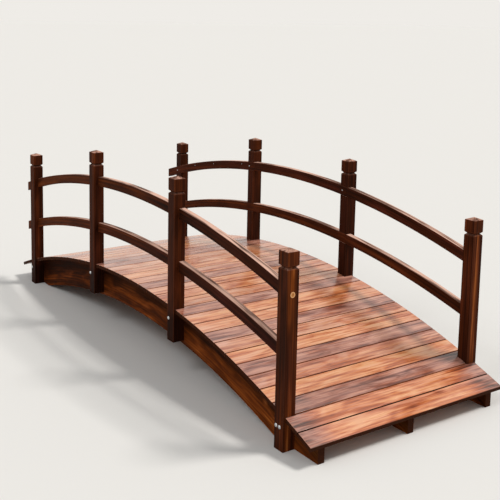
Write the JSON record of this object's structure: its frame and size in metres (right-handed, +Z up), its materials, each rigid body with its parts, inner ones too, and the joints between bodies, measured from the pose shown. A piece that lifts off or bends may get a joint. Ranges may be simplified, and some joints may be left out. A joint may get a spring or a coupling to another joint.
{
  "type": "moon bridge",
  "caption": "Humped timber garden footbridge: cross-boarded deck on curved stringers, square posts with grooved heads, curved upper and mid rails, galvanised bolts.",
  "frame": {"origin": "middle of the bridge at ground level", "axes": "+X along the bridge towards the end where the rails stop in the last posts, +Y towards the back railing, +Z up"},
  "size_m": [4.5502, 1.704, 1.4734],
  "materials": {
    "post_timber": "dark red-brown stained hardwood, satin varnish",
    "rail_timber": "red-brown stained hardwood, satin varnish",
    "deck_timber": "oiled hardwood boards, semi-gloss, colour varies from board to board",
    "stringer_timber": "orange-brown stained hardwood, satin",
    "galvanised_steel": "galvanised",
    "plug_timber": "pale bare timber"
  },
  "bodies": {
    "root": {"front_post_1": "post_timber", "front_post_2": "post_timber", "front_post_3": "post_timber", "front_post_4": "post_timber", "back_post_1": "post_timber", "back_post_2": "post_timber", "back_post_3": "post_timber", "back_post_4": "post_timber", "front_rail_upper": "rail_timber", "front_rail_mid": "rail_timber", "back_rail_upper": "rail_timber", "back_rail_mid": "rail_timber", "front_stringer": "stringer_timber", "middle_stringer": "stringer_timber", "back_stringer": "stringer_timber", "blocks_1": "stringer_timber", "blocks_2": "stringer_timber", "blocks_3": "stringer_timber", "blocks_4": "stringer_timber", "deck_boards_1": "deck_timber", "deck_boards_2": "deck_timber", "deck_boards_3": "deck_timber", "deck_boards_4": "deck_timber", "deck_boards_5": "deck_timber", "deck_boards_6": "deck_timber", "deck_boards_7": "deck_timber", "deck_boards_8": "deck_timber", "deck_boards_9": "deck_timber", "deck_boards_10": "deck_timber", "deck_boards_11": "deck_timber", "deck_boards_12": "deck_timber", "deck_boards_13": "deck_timber", "deck_boards_14": "deck_timber", "deck_boards_15": "deck_timber", "deck_boards_16": "deck_timber", "deck_boards_17": "deck_timber", "front_bolts": "galvanised_steel", "back_bolts": "galvanised_steel", "rail_plug": "plug_timber"}
  },
  "joints": []
}
